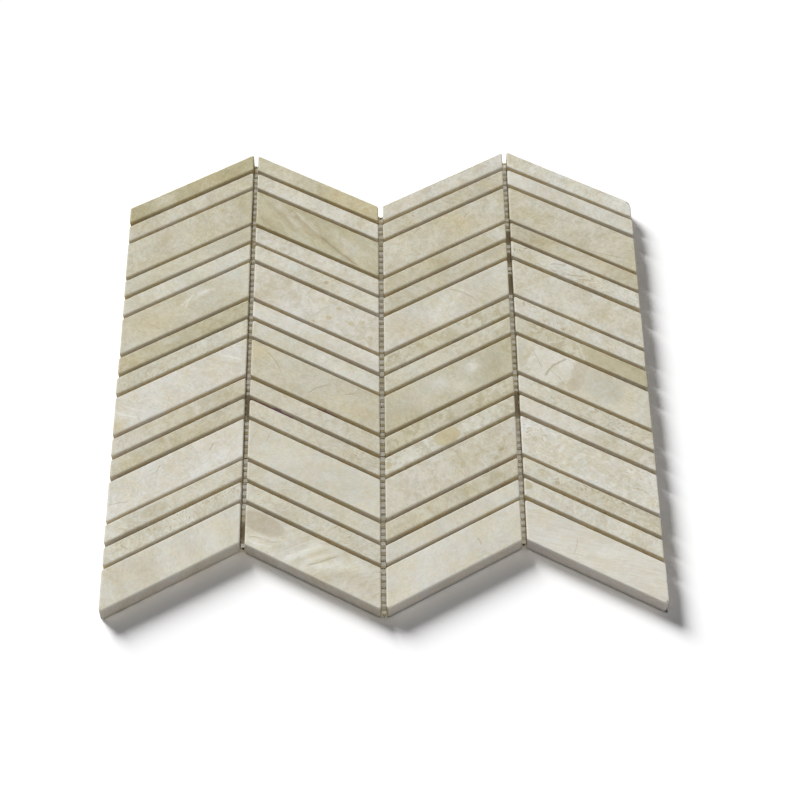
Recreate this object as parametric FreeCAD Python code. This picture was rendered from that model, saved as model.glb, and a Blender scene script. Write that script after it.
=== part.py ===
import FreeCAD, Part
import math
import os
import random

# A sheet of chevron mosaic: marble strips laid face up on a glass-fibre net.
# X runs across the columns, Y along them and Z up out of the polished face.
# The origin is on the ground, under the middle of the sheet. All lengths are in millimetres.

# Pattern
column_count = 4
group_count = 5            # groups down a column, each of narrow strips over one wide tile
narrow_per_group = 2
chevron_angle = 30.0       # slope of every strip, degrees
column_width = 68.5        # width of a strip's mitred ends apart, along X
column_joint = 2.5         # open joint between two columns, along X
narrow_width = 9.5         # square across the strip
wide_width = 21.0          # square across the tile
strip_joint = 2.0          # open joint between strips of a column, square across

# Stone
stone_thickness = 8.5
arris = 0.6                # bevel eased along the edges of the polished face
corner_nick = 0.7          # bevel on the upright corners, where the mitres were dulled

# Backing net
net_thickness = 0.5
net_inset = 1.8            # the net stops this far inside the stones, square across

# Laying by hand
column_slip = (0.4, -0.4, -0.4, 0.1)   # how far each column slid along Y
lay_shift = 0.2            # most that a strip lies off its line, along Y
lay_turn = 0.15            # most that a strip lies out of line, degrees
lay_seed = 12

slope = math.tan(math.radians(chevron_angle))
lean = math.cos(math.radians(chevron_angle))
column_pitch = column_width + column_joint
group_width = narrow_per_group * (narrow_width + strip_joint) + wide_width + strip_joint
column_length = (group_count * group_width - strip_joint) / lean


def rise(column):
    """Return +1 for a column that climbs towards +X and -1 for one that falls."""
    return 1 if column % 2 == 0 else -1


def column_middle(column):
    """Return the X of a column's centre line."""
    return (column - (column_count - 1) / 2) * column_pitch


def strip(width, direction):
    """Return one mitred stone, centred in plan and standing on Z = 0."""
    half = column_width / 2
    climb = direction * slope * half
    half_height = width / lean / 2
    corners = [
        FreeCAD.Vector(-half, -climb - half_height, 0),
        FreeCAD.Vector(half, climb - half_height, 0),
        FreeCAD.Vector(half, climb + half_height, 0),
        FreeCAD.Vector(-half, -climb + half_height, 0),
    ]
    outline = Part.Face(Part.makePolygon(corners + corners[:1]))
    block = outline.extrude(FreeCAD.Vector(0, 0, stone_thickness))
    uprights = [edge for edge in block.Edges if edge.BoundBox.ZLength > stone_thickness / 2]
    block = block.makeChamfer(corner_nick, uprights)
    top_face = max(block.Faces, key=lambda face: face.CenterOfMass.z)
    return block.makeChamfer(arris, top_face.Edges)


def lay(stone, column, middle_y, hand):
    """Return a copy of a stone set on the net, a little off its place as if laid by hand."""
    placed = stone.copy()
    placed.rotate(FreeCAD.Vector(0, 0, 0), FreeCAD.Vector(0, 0, 1), hand.uniform(-lay_turn, lay_turn))
    slid = middle_y + column_slip[column % len(column_slip)] + hand.uniform(-lay_shift, lay_shift)
    placed.translate(FreeCAD.Vector(column_middle(column), slid, net_thickness))
    return placed


def stones():
    """Return each node's stones by name, from the top of the first column down."""
    hand = random.Random(lay_seed)
    nodes = {}
    for column in range(column_count):
        narrow = strip(narrow_width, rise(column))
        wide = strip(wide_width, rise(column))
        top = column_length / 2
        for group in range(group_count):
            place = f"c{column + 1}_r{group + 1}"
            narrows = []
            for _ in range(narrow_per_group):
                narrows.append(lay(narrow, column, top - narrow_width / lean / 2, hand))
                top -= (narrow_width + strip_joint) / lean
            nodes[f"narrow_pair_{place}"] = Part.makeCompound(narrows)
            nodes[f"wide_tile_{place}"] = lay(wide, column, top - wide_width / lean / 2, hand)
            top -= (wide_width + strip_joint) / lean
    return nodes


def net():
    """Return the net as one thin sheet, cut to the sheet's zigzag ends inside the stones."""
    side = column_count * column_pitch / 2 - column_joint / 2 - net_inset
    end = column_length / 2 - net_inset / lean
    crest = slope * column_pitch / 2
    zigzag = []
    for line in range(column_count + 1):
        x = (line - column_count / 2) * column_pitch
        height = crest if line % 2 else -crest
        cut = max(-side, min(side, x))
        inward = abs(x - cut) * slope
        zigzag.append((cut, height + inward if height < 0 else height - inward))
    lower = [FreeCAD.Vector(x, y - end, 0) for x, y in zigzag]
    upper = [FreeCAD.Vector(x, y + end, 0) for x, y in reversed(zigzag)]
    outline = lower + upper
    sheet = Part.Face(Part.makePolygon(outline + outline[:1]))
    return sheet.extrude(FreeCAD.Vector(0, 0, net_thickness))


def sheet_nodes():
    """Return every node of the sheet, centred over the origin."""
    nodes = stones()
    nodes["backing_net"] = net()
    middle = Part.makeCompound(list(nodes.values())).BoundBox.Center
    for shape in nodes.values():
        shape.translate(FreeCAD.Vector(-middle.x, -middle.y, 0))
    return nodes


os.makedirs("parts", exist_ok=True)
for name, shape in sheet_nodes().items():
    shape.exportStep(f"parts/{name}.step")
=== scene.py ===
import math
import random

import bpy
import numpy as np
from bpy.props import FloatProperty, FloatVectorProperty, IntProperty, PointerProperty
from mathutils import Matrix, Quaternion, Vector, noise


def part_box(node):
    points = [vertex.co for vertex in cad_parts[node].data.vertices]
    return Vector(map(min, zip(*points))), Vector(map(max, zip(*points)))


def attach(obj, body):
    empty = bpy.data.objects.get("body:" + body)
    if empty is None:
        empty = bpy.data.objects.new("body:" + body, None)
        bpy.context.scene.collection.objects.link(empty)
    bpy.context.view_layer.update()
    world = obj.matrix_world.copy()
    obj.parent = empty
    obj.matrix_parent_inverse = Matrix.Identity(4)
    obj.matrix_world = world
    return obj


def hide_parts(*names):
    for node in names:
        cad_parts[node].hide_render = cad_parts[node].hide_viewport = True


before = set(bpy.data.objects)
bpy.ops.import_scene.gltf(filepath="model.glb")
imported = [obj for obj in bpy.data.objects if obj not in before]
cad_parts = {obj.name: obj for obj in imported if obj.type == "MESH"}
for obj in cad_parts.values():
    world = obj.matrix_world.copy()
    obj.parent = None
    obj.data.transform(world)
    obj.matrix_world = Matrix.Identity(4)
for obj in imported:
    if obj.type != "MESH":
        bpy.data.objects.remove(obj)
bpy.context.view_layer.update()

bl_info = {
    "name": "Chevron mosaic sheet",
    "version": (1, 0, 0),
    "blender": (4, 5, 0),
    "location": "View3D > Sidebar > Mosaic",
    "description": "Marble chevron strips with eased edges on a woven glass net",
    "category": "Add Mesh",
}

MM = 0.001


class StoneSettings(bpy.types.PropertyGroup):
    """Sizes and colours of the marble."""

    arris: FloatProperty(
        name="Arris", description="How far the edges of the polished face are rounded over",
        default=0.7 * MM, unit="LENGTH")
    corner: FloatProperty(
        name="Corner", description="Radius that the upright corners were dulled to",
        default=0.8 * MM, unit="LENGTH")
    lippage: FloatProperty(
        name="Lippage", description="Most that a stone's face lies below its neighbours'",
        default=0.12 * MM, unit="LENGTH")
    facet: FloatProperty(
        name="Facet", description="Spacing of the mesh over the stone's face",
        default=1.3 * MM, unit="LENGTH")
    chips: IntProperty(
        name="Chips", description="Small chips along the edges of each stone", default=5, min=0)
    sand: FloatVectorProperty(
        name="Sand", description="The deepest, yellowest marble of the batch",
        default=(0.467, 0.431, 0.296), subtype="COLOR")
    ivory: FloatVectorProperty(
        name="Ivory", description="The palest marble of the batch",
        default=(0.652, 0.634, 0.566), subtype="COLOR")
    seed: IntProperty(name="Slab", description="Which cut of the slab the stones come from", default=5)


class NetSettings(bpy.types.PropertyGroup):
    """Sizes and colours of the glass net."""

    mesh: FloatProperty(
        name="Mesh", description="Distance from thread to thread, both ways",
        default=4.0 * MM, unit="LENGTH")
    weft_width: FloatProperty(
        name="Weft width", description="Width of the flat threads across the sheet",
        default=2.9 * MM, unit="LENGTH")
    warp_width: FloatProperty(
        name="Warp width", description="Width of each of the twisted threads along the sheet",
        default=0.55 * MM, unit="LENGTH")
    glass: FloatVectorProperty(
        name="Glass", description="Colour of the coated glass thread",
        default=(0.70, 0.675, 0.59), subtype="COLOR")
    glue: FloatVectorProperty(
        name="Glue", description="Colour of the thread where glue has soaked it",
        default=(0.47, 0.405, 0.23), subtype="COLOR")


class StageSettings(bpy.types.PropertyGroup):
    """Floor, light and camera."""

    floor: FloatVectorProperty(
        name="Floor", description="Colour of the floor", default=(0.90, 0.90, 0.90), subtype="COLOR")
    key: FloatProperty(
        name="Key", description="Light that the key throws on level ground", default=0.37)
    key_turn: FloatProperty(
        name="Key turn", description="Side that the key light comes from, anticlockwise from +X",
        default=math.radians(128), subtype="ANGLE")
    key_height: FloatProperty(
        name="Key height", description="Height of the key light over the horizon",
        default=math.radians(27.3), subtype="ANGLE")
    key_spread: FloatProperty(
        name="Key spread", description="How wide the key light looks from the sheet",
        default=math.radians(24), subtype="ANGLE")
    overhead: FloatProperty(
        name="Overhead", description="Light from overhead that falls on the sheet alone", default=0.45)
    overhead_height: FloatProperty(
        name="Overhead height", description="Height of the overhead light over the horizon in front",
        default=math.radians(68), subtype="ANGLE")
    overhead_spread: FloatProperty(
        name="Overhead spread", description="How wide the overhead light looks from the sheet",
        default=math.radians(7), subtype="ANGLE")
    cross: FloatProperty(
        name="Cross", description="Light from the right that falls on the sheet alone", default=0.08)
    cross_turn: FloatProperty(
        name="Cross turn", description="Side that the cross light comes from, anticlockwise from +X",
        default=math.radians(-15), subtype="ANGLE")
    cross_height: FloatProperty(
        name="Cross height", description="Height of the cross light over the horizon",
        default=math.radians(48), subtype="ANGLE")
    fill: FloatProperty(name="Fill", description="Light from all round", default=0.08)
    eye: FloatVectorProperty(
        name="Eye", description="Where the camera stands",
        default=(8.48 * MM, -707.05 * MM, 938.95 * MM), subtype="TRANSLATION")
    target: FloatVectorProperty(
        name="Target", description="Point at the middle of the picture",
        default=(9.41 * MM, -24.10 * MM, 9.0 * MM), subtype="TRANSLATION")
    roll: FloatProperty(
        name="Roll", description="How far the camera leans to its right",
        default=math.radians(0.716), subtype="ANGLE")
    lens: FloatProperty(name="Lens", description="Focal length in millimetres", default=98.69)


def sheet_pieces():
    """Return the collection that holds the sheet's own pieces."""
    found = bpy.data.collections.get("mosaic_sheet")
    if not found:
        found = bpy.data.collections.new("mosaic_sheet")
        bpy.context.scene.collection.children.link(found)
    return found


def set_piece(name, mesh, node=None):
    """Set a mesh in the frame as one piece of the sheet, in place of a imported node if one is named."""
    piece = bpy.data.objects.new(name, mesh)
    sheet_pieces().objects.link(piece)
    if node:
        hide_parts(node)
    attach(piece, "root")
    return piece


# Shader arithmetic


class Wire:
    """One output of a node, with arithmetic that adds Math nodes."""

    def __init__(self, finish, socket):
        self.finish = finish
        self.socket = socket

    def math(self, operation, *values):
        return self.finish.node("ShaderNodeMath", {"operation": operation}, dict(enumerate(values)))

    def __add__(self, other):
        return self.math("ADD", self, other)

    def __radd__(self, other):
        return self.math("ADD", other, self)

    def __sub__(self, other):
        return self.math("SUBTRACT", self, other)

    def __rsub__(self, other):
        return self.math("SUBTRACT", other, self)

    def __mul__(self, other):
        return self.math("MULTIPLY", self, other)

    def __rmul__(self, other):
        return self.math("MULTIPLY", other, self)

    def __abs__(self):
        return self.math("ABSOLUTE", self)


class Finish:
    """A material or world being made, node by node."""

    def __init__(self, owner):
        owner.use_nodes = True
        self.tree = owner.node_tree
        self.tree.nodes.clear()

    def node(self, kind, settings, sockets, output=0):
        """Add a node, make its settings, fill or link its sockets, and return one output."""
        node = self.tree.nodes.new(kind)
        for name, value in settings.items():
            setattr(node, name, value)
        for name, value in sockets.items():
            if isinstance(value, Wire):
                self.tree.links.new(value.socket, node.inputs[name])
            else:
                node.inputs[name].default_value = value
        return Wire(self, node.outputs[output]) if len(node.outputs) else node

    def attribute(self, name, output):
        return self.node("ShaderNodeAttribute", {"attribute_name": name}, {}, output)

    def noise(self, place, scale, detail, roughness=0.55, output="Fac"):
        sockets = {"Vector": place, "Scale": scale, "Detail": detail, "Roughness": roughness}
        return self.node("ShaderNodeTexNoise", {}, sockets, output)

    def vector(self, operation, *values):
        return self.node("ShaderNodeVectorMath", {"operation": operation}, dict(enumerate(values)))

    def mix(self, factor, first, second, blend="MIX"):
        settings = {"data_type": "RGBA", "blend_type": blend}
        return self.node("ShaderNodeMix", settings, {0: factor, 6: first, 7: second}, 2)

    def step(self, value, low, high):
        """Return 0 below low and 1 above high, with a smooth rise between them."""
        sockets = {"Value": value, "From Min": low, "From Max": high}
        return self.node("ShaderNodeMapRange", {"interpolation_type": "SMOOTHSTEP"}, sockets)

    def part(self, vector, axis):
        return self.node("ShaderNodeSeparateXYZ", {}, {0: vector}, axis)

    def bump(self, height, strength, distance):
        sockets = {"Strength": strength, "Distance": distance, "Height": height}
        return self.node("ShaderNodeBump", {}, sockets, "Normal")

    def principled(self, colour, rough, normal):
        sockets = {"Base Color": colour, "Roughness": rough, "Normal": normal}
        return self.node("ShaderNodeBsdfPrincipled", {}, sockets)

    def surface(self, shader):
        return self.node("ShaderNodeOutputMaterial", {}, {"Surface": shader})


def tint(red, green, blue):
    return (red, green, blue, 1.0)


# Marble, one material for each way that it is marked


DEEPER = tint(0.775, 0.735, 0.625)
PALER = tint(1.115, 1.135, 1.19)
WARMER = tint(1.02, 0.995, 0.92)
GREYER = tint(0.985, 1.0, 1.05)
VEIN = tint(0.80, 0.765, 0.68)
CRACK = tint(0.55, 0.49, 0.40)
PALE_LINE = tint(1.16, 1.18, 1.24)
FLECK = tint(0.66, 0.58, 0.44)
DOT = tint(0.86, 0.75, 0.53)
# Outer sawn sides: a sawn stone colour, brightened past it as painted light that lifts the shaded front
# sides
SAWN_PAINTED_LIGHT = tint(1.17, 1.12, 1.15)
# Sides facing a joint: darkened and browned as painted shade and bounce light between the walls, partly glue
# residue
JOINT_SHADE_AND_GLUE_TAN = tint(0.97, 0.85, 0.61)
JOINT_SHADE_AND_GLUE_GREY = tint(0.93, 0.86, 0.80)
ROSY = tint(1.012, 0.99, 0.985)
GREENISH = tint(0.985, 1.008, 0.99)
BROKEN_EDGE = tint(1.04, 1.04, 1.05)
GLUE_FILM = tint(0.93, 0.90, 0.80)

# How far the bedding winds in millimetres, how far its marks are drawn out, and how strongly each one shows
PLAIN = {
    "bend": 8, "stretch": 0.4, "clouds": 0.7, "mottle": 0.8, "strokes": 0.4, "grain": 1.35, "clasts": 0.1,
    "veins": 0.0, "feathers": 0.0, "bands": 0.0, "cracks": 0.0, "flecks": 0.0, "dots": 0.0,
}
MARKINGS = {
    "smooth": {"clouds": 0.5, "mottle": 0.3, "strokes": 0.15, "grain": 0.75, "clasts": 0.0},
    "plain": {"mottle": 0.5, "strokes": 0.3, "grain": 1.1, "flecks": 0.15},
    "clouded": {"clouds": 0.9, "mottle": 0.9, "flecks": 0.25},
    "veined": {"bend": 6, "stretch": 0.16, "veins": 0.8, "strokes": 0.3, "grain": 0.7},
    "feathered": {"bend": 7, "stretch": 0.14, "feathers": 0.35, "strokes": 0.4, "grain": 0.9},
    "banded": {"bend": 2.5, "stretch": 0.07, "clouds": 0.4, "mottle": 0.3, "grain": 0.6, "bands": 0.8},
    "flecked": {"stretch": 0.3, "strokes": 0.7, "flecks": 1.1, "cracks": 0.3},
    "pitted": {"stretch": 0.35, "clouds": 0.9, "strokes": 0.8, "flecks": 1.8, "cracks": 0.5},
    "speckled": {"clasts": 0.4, "dots": 1.0, "flecks": 0.4, "clouds": 0.9},
    "broken": {"clasts": 0.9, "cracks": 0.4, "flecks": 0.25, "clouds": 0.9},
}
# How fine each mark is, in features to a millimetre of the slab
FINENESS = {
    "drift": 0.10, "cloud": 0.06, "mottle": 0.26, "grain": 1.0, "broad cast": 0.075, "fine cast": 0.7,
    "blush": 0.35, "large clast": 0.16, "small clast": 0.42, "stroke": 0.8, "vein": 0.17, "plume": 0.30,
    "lamina": 0.42, "hair": 0.13, "healed": 0.06, "open": 0.09, "crack": 0.06, "crowd": 0.07, "dash": 0.95,
    "dot": 0.24, "bed": 0.03, "glued": 0.12,
}
# How strongly a stone's own fine lines show, and how many half widths the mottle makes them wander
LINE_STRENGTH = 0.65
LINE_WANDER = 5


def marble(marking):
    """Return the marble with one kind of marking, placed by each stone's own slab coordinates."""
    amount = PLAIN | MARKINGS[marking]
    material = bpy.data.materials.new(f"marble_{marking}")
    finish = Finish(material)
    slab = finish.attribute("slab", "Vector")
    tone = finish.attribute("tone", "Color")
    wear = finish.attribute("wear", "Fac")

    def tinted(colour):
        return finish.mix(1.0, tone, colour, "MULTIPLY")

    def spread(mark, place, detail, roughness=0.55, output="Fac"):
        return finish.noise(place, FINENESS[mark], detail, roughness, output)

    def cells(mark, feature, output):
        sockets = {"Vector": bent, "Scale": FINENESS[mark]}
        return finish.node("ShaderNodeTexVoronoi", {"feature": feature}, sockets, output)

    drift = spread("drift", slab, 4, 0.6, "Color")
    bent = finish.vector("MULTIPLY_ADD", drift, (amount["bend"],) * 3, slab)
    streak = finish.vector("MULTIPLY", bent, (1.0, amount["stretch"], 1.0))
    cloud = spread("cloud", streak, 4)
    mottle = spread("mottle", bent, 6, 0.66)
    grain = spread("grain", streak, 4, 0.66)

    deep, pale = tinted(DEEPER), tinted(PALER)
    blend = (cloud - 0.5) * 1.4 * amount["clouds"] + (mottle - 0.5) * 1.3 * amount["mottle"]
    blend = blend + (grain - 0.5) * amount["grain"]
    shade = finish.step(blend, -0.5, 0.5)
    colour = finish.mix(shade, deep, pale)
    cast = spread("broad cast", slab, 3) * 0.5 + spread("fine cast", bent, 3) * 0.5
    colour = finish.mix(1.0, colour, finish.mix(finish.step(cast, 0.38, 0.62), WARMER, GREYER), "MULTIPLY")
    blush = spread("blush", bent, 5, 0.7)
    colour = finish.mix(1.0, colour, finish.mix(finish.step(blush, 0.38, 0.62), ROSY, GREENISH), "MULTIPLY")

    for mark in ("large clast", "small clast"):
        pick = finish.part(cells(mark, "F1", "Color"), 0)
        colour = finish.mix(finish.step(pick, 0.55, 0.80) * 0.6 * amount["clasts"], colour, pale)
        colour = finish.mix(finish.step(1 - pick, 0.66, 0.90) * 0.6 * amount["clasts"], colour, deep)
    stroke = spread("stroke", streak, 3, 0.6)
    colour = finish.mix(finish.step(stroke, 0.59, 0.64) * 0.6 * amount["strokes"], colour, pale)
    colour = finish.mix(finish.step(1 - stroke, 0.60, 0.66) * 0.6 * amount["strokes"], colour, deep)
    if amount["veins"]:
        ridge = abs(spread("vein", streak, 3) - 0.5)
        vein = (1 - finish.step(ridge, 0.0, 0.06)) * 0.35 + (1 - finish.step(ridge, 0.0, 0.014)) * 0.5
        colour = finish.mix(vein * amount["veins"], colour, tinted(VEIN))
    if amount["feathers"]:
        plume = finish.step(spread("plume", streak, 6, 0.62), 0.50, 0.62)
        colour = finish.mix(plume * 0.7 * amount["feathers"], colour, tinted(PALE_LINE))
    if amount["bands"]:
        lamina = 1 - finish.step(abs(spread("lamina", streak, 3, 0.6) - 0.5), 0.0, 0.07)
        colour = finish.mix(lamina * 0.42 * amount["bands"], colour, deep)
    hair = 1 - finish.step(abs(spread("hair", bent, 3) - 0.5), 0.0, 0.010)
    healed = finish.step(spread("healed", slab, 2), 0.48, 0.60)
    colour = finish.mix(hair * healed * 0.5, colour, pale)

    open_crack = finish.step(spread("open", slab, 2), 0.50, 0.58)
    crack = (1 - finish.step(cells("crack", "DISTANCE_TO_EDGE", "Distance"), 0.002, 0.018)) * open_crack
    colour = finish.mix(crack * 0.8 * amount["cracks"], colour, tinted(CRACK))
    crowd = finish.step(spread("crowd", slab, 1), 0.42, 0.60)
    dash = finish.step(spread("dash", streak, 2), 0.61, 0.67)
    colour = finish.mix(dash * crowd * 0.85 * amount["flecks"], colour, tinted(FLECK))
    if amount["dots"]:
        chosen = finish.step(finish.part(cells("dot", "F1", "Color"), 1), 0.45, 0.50)
        dot = (1 - finish.step(cells("dot", "F1", "Distance"), 0.08, 0.24)) * chosen
        colour = finish.mix(dot * crowd * 0.8 * amount["dots"], colour, tinted(DOT))

    patch = finish.attribute("patch", "Fac")
    spot_tone = finish.attribute("patch_tone", "Color")
    spot = finish.step(patch + (mottle - 0.5) * 1.1 + (grain - 0.5) * 0.5, 0.28, 0.48)
    spot_tone = finish.mix(1 - shade, spot_tone, finish.mix(1.0, spot_tone, DEEPER, "MULTIPLY"))
    colour = finish.mix(spot * finish.attribute("patch_tone", "Alpha"), colour, spot_tone)
    for kind, line_tint in (("crack", CRACK), ("thread", PALE_LINE)):
        off, end = finish.attribute(f"{kind}_off", "Vector"), finish.attribute(f"{kind}_end", "Vector")
        for axis in range(MOST_LINES):
            near = 1 - finish.step(abs(finish.part(off, axis) + (mottle - 0.5) * LINE_WANDER), 0.3, 1.1)
            within = 1 - finish.step(abs(finish.part(end, axis)), 0.7, 1.0)
            colour = finish.mix(near * within * LINE_STRENGTH, colour, tinted(line_tint))

    normal = finish.part(finish.node("ShaderNodeNewGeometry", {}, {}, "Normal"), "Z")
    face = finish.step(normal, 0.25, 0.6)
    back = finish.step(0 - normal, 0.4, 0.8)
    bed = finish.step(spread("bed", slab, 2), 0.42, 0.58)
    # The sides take painted light: outer sides brightened, sides facing a joint darkened and browned as
    # painted shade and bounce, partly glue
    side_painted_light_and_glue = finish.mix(finish.attribute("joint", "Fac"), SAWN_PAINTED_LIGHT, finish.mix(bed, JOINT_SHADE_AND_GLUE_TAN, JOINT_SHADE_AND_GLUE_GREY))
    colour = finish.mix(face, finish.mix(1.0, colour, side_painted_light_and_glue, "MULTIPLY"), colour)
    glued = finish.step(spread("glued", slab, 3), 0.46, 0.56) * back
    colour = finish.mix(glued * 0.7, colour, tinted(GLUE_FILM))
    colour = finish.mix(wear * 0.35, colour, tinted(BROKEN_EDGE))

    saw = finish.node(
        "ShaderNodeTexWave", {"wave_type": "BANDS", "bands_direction": "Z"},
        {"Vector": slab, "Scale": 0.42, "Distortion": 1.2, "Detail": 2.0, "Detail Scale": 0.3}, "Fac")
    polish = 0.34 + mottle * 0.16
    rough = polish * face + (1 - face) * (0.86 - glued * 0.45) + wear * 0.3
    relief = grain * 0.25 + saw * 0.7 * (1 - face)
    finish.surface(finish.principled(colour, rough, finish.bump(relief, 0.25, 0.06 * MM)))
    return material


# Stones


TONES = {
    "ochre": -0.16, "sand": 0.08, "tan": 0.28, "warm": 0.40, "buff": 0.52, "cream": 0.66, "pale": 0.82,
    "ivory": 0.98, "chalk": 1.12}
STONE_TONES = {
    "ochre": ("narrow_c1_r1_upper",),
    "sand": ("narrow_c1_r3_upper", "wide_c2_r1", "narrow_c2_r1_upper"),
    "tan": ("narrow_c3_r4_upper", "wide_c3_r3", "narrow_c4_r2_upper"),
    "warm": (
        "wide_c1_r1", "narrow_c1_r4_lower", "narrow_c3_r2_upper", "narrow_c3_r2_lower",
        "narrow_c3_r3_upper", "narrow_c3_r5_upper", "narrow_c4_r3_lower"),
    "buff": (
        "narrow_c1_r1_lower", "narrow_c1_r2_upper", "wide_c1_r2", "wide_c2_r3", "narrow_c2_r4_upper",
        "narrow_c3_r1_lower", "wide_c3_r1", "narrow_c3_r3_lower", "wide_c4_r1"),
    "pale": (
        "narrow_c1_r2_lower", "narrow_c1_r5_lower", "narrow_c2_r1_lower", "narrow_c2_r2_upper",
        "narrow_c2_r2_lower", "wide_c2_r2", "narrow_c2_r3_lower", "wide_c2_r4", "narrow_c3_r1_upper",
        "wide_c3_r2", "narrow_c3_r5_lower", "narrow_c4_r2_lower", "narrow_c4_r3_upper",
        "narrow_c4_r4_lower", "narrow_c4_r5_lower"),
    "ivory": (
        "wide_c1_r3", "wide_c1_r5", "narrow_c2_r3_upper", "wide_c3_r5", "narrow_c4_r1_upper",
        "narrow_c4_r1_lower"),
    "chalk": ("wide_c1_r4", "wide_c4_r4", "wide_c4_r5"),
}
STONE_MARKINGS = {
    "smooth": ("wide_c1_r5", "wide_c2_r4", "wide_c3_r5", "narrow_c3_r5_lower"),
    "plain": (
        "wide_c1_r2", "narrow_c1_r2_upper", "narrow_c1_r2_lower", "wide_c1_r3", "wide_c1_r4",
        "narrow_c2_r3_upper", "narrow_c2_r3_lower", "wide_c2_r3", "narrow_c2_r5_upper", "wide_c3_r2",
        "wide_c3_r3", "narrow_c4_r1_lower", "wide_c4_r3"),
    "veined": ("wide_c2_r1",),
    "feathered": ("wide_c2_r5",),
    "banded": ("wide_c4_r5",),
    "flecked": (
        "wide_c4_r4", "narrow_c1_r3_lower", "narrow_c2_r5_lower", "narrow_c2_r4_lower",
        "narrow_c3_r1_lower"),
    "pitted": (
        "narrow_c4_r2_lower", "narrow_c4_r5_upper", "narrow_c4_r3_upper", "narrow_c4_r4_upper",
        "narrow_c1_r5_lower"),
    "speckled": (
        "wide_c2_r2", "wide_c4_r2", "wide_c3_r4", "wide_c4_r1", "narrow_c2_r1_upper", "narrow_c3_r2_lower",
        "narrow_c4_r4_lower", "narrow_c1_r3_upper", "narrow_c2_r4_upper", "narrow_c2_r2_upper"),
    "broken": ("narrow_c3_r4_lower", "narrow_c4_r3_lower", "narrow_c3_r4_upper", "narrow_c3_r3_upper"),
}
# Which way the bedding runs in stones where it shows, degrees anticlockwise from +X
BEDDING = {
    "wide_c1_r1": 85, "wide_c1_r3": -40, "wide_c1_r4": 50, "wide_c1_r5": 95, "wide_c2_r1": -52,
    "wide_c2_r2": 40, "wide_c2_r3": -35, "wide_c2_r4": 0, "wide_c2_r5": 22, "wide_c3_r1": 60,
    "wide_c3_r2": -42, "wide_c4_r3": -30, "wide_c4_r4": -28, "wide_c4_r5": -14, "narrow_c4_r2_lower": -32,
    "narrow_c4_r4_upper": -30, "narrow_c4_r5_upper": -28,
}
COLOURS = {
    "white": (0.72, 0.71, 0.64), "cream": (0.64, 0.61, 0.49), "rose": (0.575, 0.53, 0.435),
    "tan": (0.49, 0.445, 0.30), "amber": (0.50, 0.41, 0.23), "rust": (0.54, 0.475, 0.305),
    "mauve": (0.52, 0.475, 0.385), "grey": (0.585, 0.58, 0.51), "olive": (0.45, 0.415, 0.285),
    "brown": (0.43, 0.375, 0.25), "umber": (0.35, 0.295, 0.185), "plum": (0.33, 0.18, 0.38),
}
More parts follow.
